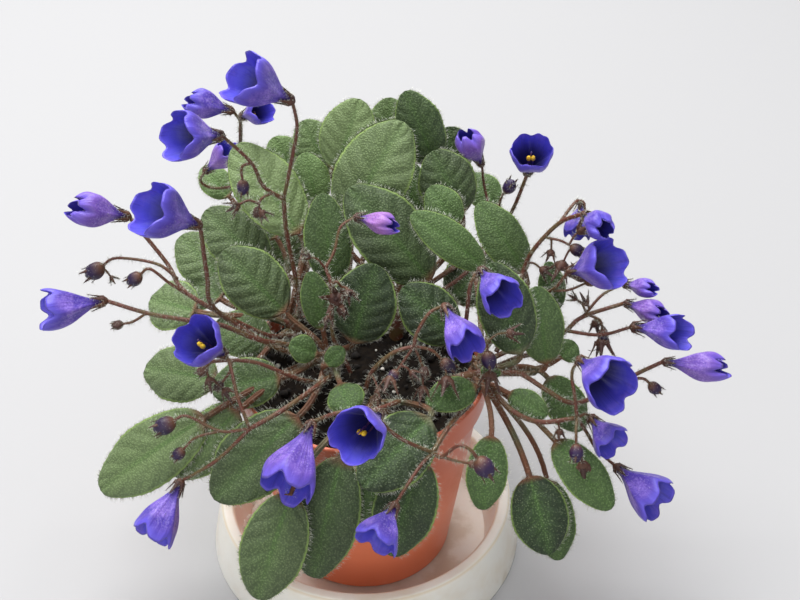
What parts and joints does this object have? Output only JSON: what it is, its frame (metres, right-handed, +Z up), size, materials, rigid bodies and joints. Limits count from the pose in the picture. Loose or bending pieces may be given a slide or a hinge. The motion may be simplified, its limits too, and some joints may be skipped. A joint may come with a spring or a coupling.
{
  "type": "potted cape primrose",
  "caption": "Trailing cape primrose in flower, with violet-blue bells on arching stalks, in a round plastic pot that stands in a round saucer.",
  "frame": {"origin": "the pot's upright axis at the table, under the middle of the saucer's flat underside", "axes": "+Z up along the pot's axis; the side that the picture shows faces -Y, and +X is the picture's right"},
  "size_m": [0.2378, 0.1865, 0.2089],
  "materials": {
    "saucer": "satin",
    "pot": "satin",
    "soil": "matte",
    "leaf": "matte",
    "stalk": "matte",
    "petal": "satin"
  },
  "bodies": {
    "root": {"saucer": "saucer", "pot": "pot", "soil": "soil", "leafy_stem_centre": "leaf", "leafy_stem_right": "leaf", "leafy_stem_back": "leaf", "leafy_stem_left": "leaf", "leafy_stem_front": "leaf", "leafy_stem_rear": "leaf", "flower_stalk_01": "stalk", "flower_stalk_02": "stalk", "flower_stalk_03": "stalk", "flower_stalk_04": "stalk", "flower_stalk_05": "stalk", "flower_stalk_06": "stalk", "flower_stalk_07": "stalk", "flower_stalk_08": "stalk", "flower_stalk_09": "stalk", "flower_stalk_10": "stalk", "flower_stalk_11": "stalk", "flower_stalk_12": "stalk", "flower_stalk_13": "stalk", "flower_stalk_14": "stalk", "flower_stalk_15": "stalk", "flower_stalk_16": "stalk", "flower_stalk_17": "stalk", "flower_stalk_18": "stalk", "bloom_01": "petal", "bloom_02": "petal", "bloom_03": "petal", "bloom_04": "petal", "bloom_05": "petal", "bloom_06": "petal", "bloom_07": "petal", "bloom_08": "petal", "bloom_09": "petal", "bloom_10": "petal", "bloom_11": "petal", "bloom_12": "petal", "bloom_13": "petal", "bloom_14": "petal", "bloom_15": "petal", "bloom_16": "petal", "bloom_17": "petal", "bloom_18": "petal", "bloom_19": "petal", "bloom_20": "petal", "bloom_21": "petal", "bloom_22": "petal", "bloom_23": "petal", "bloom_24": "petal", "bloom_25": "petal", "bloom_26": "petal", "bloom_27": "petal", "bloom_28": "petal", "bloom_29": "petal", "bloom_30": "petal", "bloom_31": "petal"}
  },
  "joints": []
}
